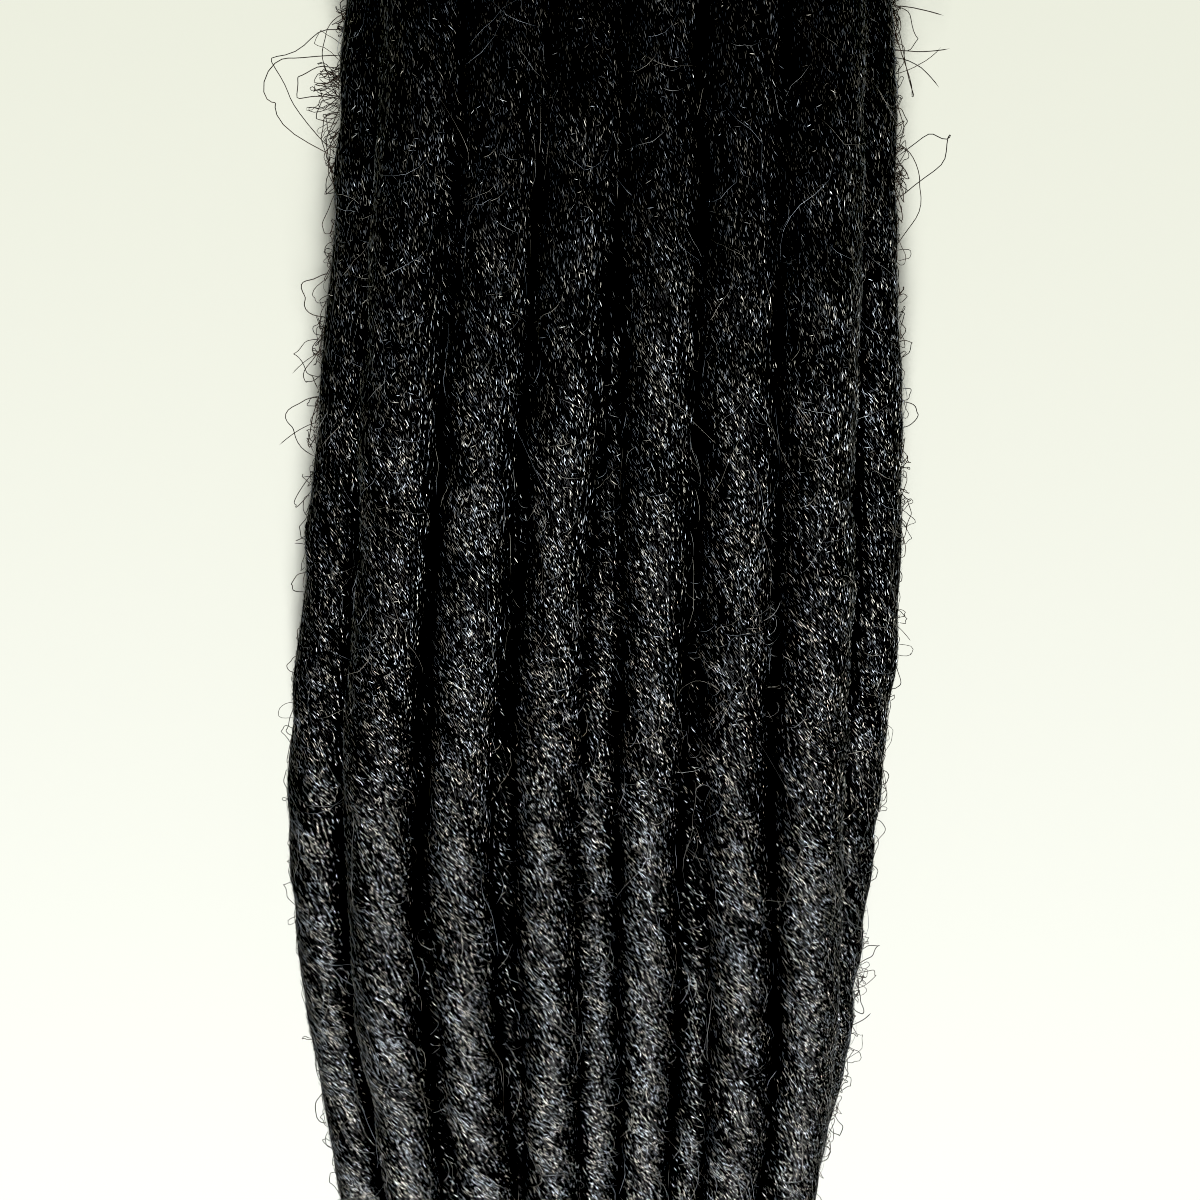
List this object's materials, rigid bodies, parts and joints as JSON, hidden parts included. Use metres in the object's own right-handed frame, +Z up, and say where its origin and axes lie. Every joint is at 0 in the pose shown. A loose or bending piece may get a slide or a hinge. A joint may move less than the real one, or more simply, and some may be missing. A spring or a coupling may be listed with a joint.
{
  "type": "dreadlock hair extension hank",
  "caption": "Flat hank of round, felted hair locks lying side by side, tied by a flat band near the root ends and tapering to blunt free tips.",
  "frame": {"origin": "on the table, below the middle of the hank's box", "axes": "+Z up from the table, +Y along the locks towards their root ends, +X across the hank to the right as seen from above"},
  "size_m": [0.0746, 0.3, 0.0238],
  "materials": {
    "felted_hair": "dense twisted and felted black hair with a soft cool sheen and fine loose fibres",
    "tie_band": "matt black elastic with fine ribs along it"
  },
  "bodies": {
    "root": {"lock_01": "felted_hair", "lock_02": "felted_hair", "lock_03": "felted_hair", "lock_04": "felted_hair", "lock_05": "felted_hair", "lock_06": "felted_hair", "lock_07": "felted_hair", "lock_08": "felted_hair", "lock_09": "felted_hair", "lock_10": "felted_hair", "lock_11": "felted_hair", "lock_12": "felted_hair", "lock_13": "felted_hair", "lock_14": "felted_hair", "lock_15": "felted_hair", "lock_16": "felted_hair", "lock_17": "felted_hair", "lock_18": "felted_hair", "lock_19": "felted_hair", "lock_20": "felted_hair", "tie_band": "tie_band"}
  },
  "joints": []
}
